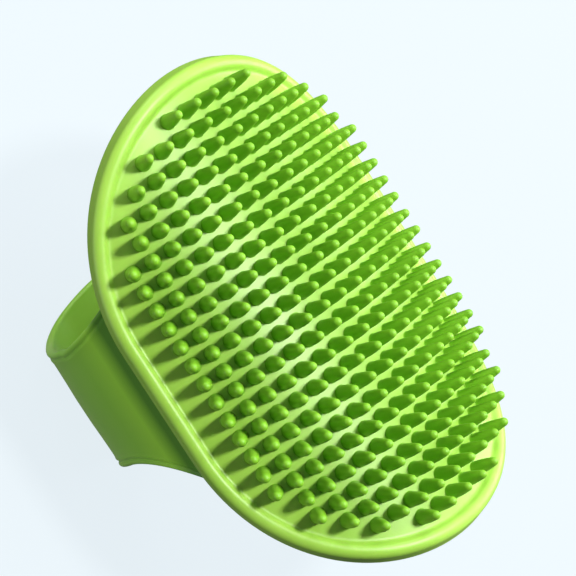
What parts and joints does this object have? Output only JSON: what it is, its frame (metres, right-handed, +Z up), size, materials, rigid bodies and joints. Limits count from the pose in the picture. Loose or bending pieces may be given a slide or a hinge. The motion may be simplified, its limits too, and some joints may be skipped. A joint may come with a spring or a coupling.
{
  "type": "pet grooming brush pad",
  "caption": "Arched oval rubber pad with rows of tapered teeth and a wide hand strap underneath, for brushing a pet's coat.",
  "frame": {"origin": "centre of the bounding box's bottom, on the flat middle of the strap that the part lies on", "axes": "+X along the pad from the wrist end to the finger end, +Y across it, +Z up from the strap through the pad to the teeth"},
  "size_m": [0.135, 0.0936, 0.0822],
  "materials": {
    "pad": "satin moulded elastomer",
    "rim": "smooth moulded elastomer",
    "teeth": "satin moulded elastomer",
    "strap": "satin moulded elastomer"
  },
  "bodies": {
    "pad": {"pad_skin": "pad", "rim_bead": "rim", "tooth_column_01": "teeth", "tooth_column_02": "teeth", "tooth_column_03": "teeth", "tooth_column_04": "teeth", "tooth_column_05": "teeth", "tooth_column_06": "teeth", "tooth_column_07": "teeth", "tooth_column_08": "teeth", "tooth_column_09": "teeth", "tooth_column_10": "teeth", "tooth_column_11": "teeth", "tooth_column_12": "teeth", "tooth_column_13": "teeth", "tooth_column_14": "teeth", "tooth_column_15": "teeth", "strap_root_near": "strap", "strap_root_far": "strap", "strap_wall_near": "strap", "strap_wall_far": "strap"},
    "strap": {"strap_crown": "strap", "wrist_lip": "rim", "finger_lip": "rim"}
  },
  "joints": [
    {"name": "strap_flex", "type": "slide", "parent": "pad", "child": "strap", "axis": [0, 0, 1], "range_m": [0, 0.014], "stiffness_N_per_m": 150, "springref_m": -0.01, "deforming": ["strap_wall_near", "strap_wall_far"]}
  ]
}
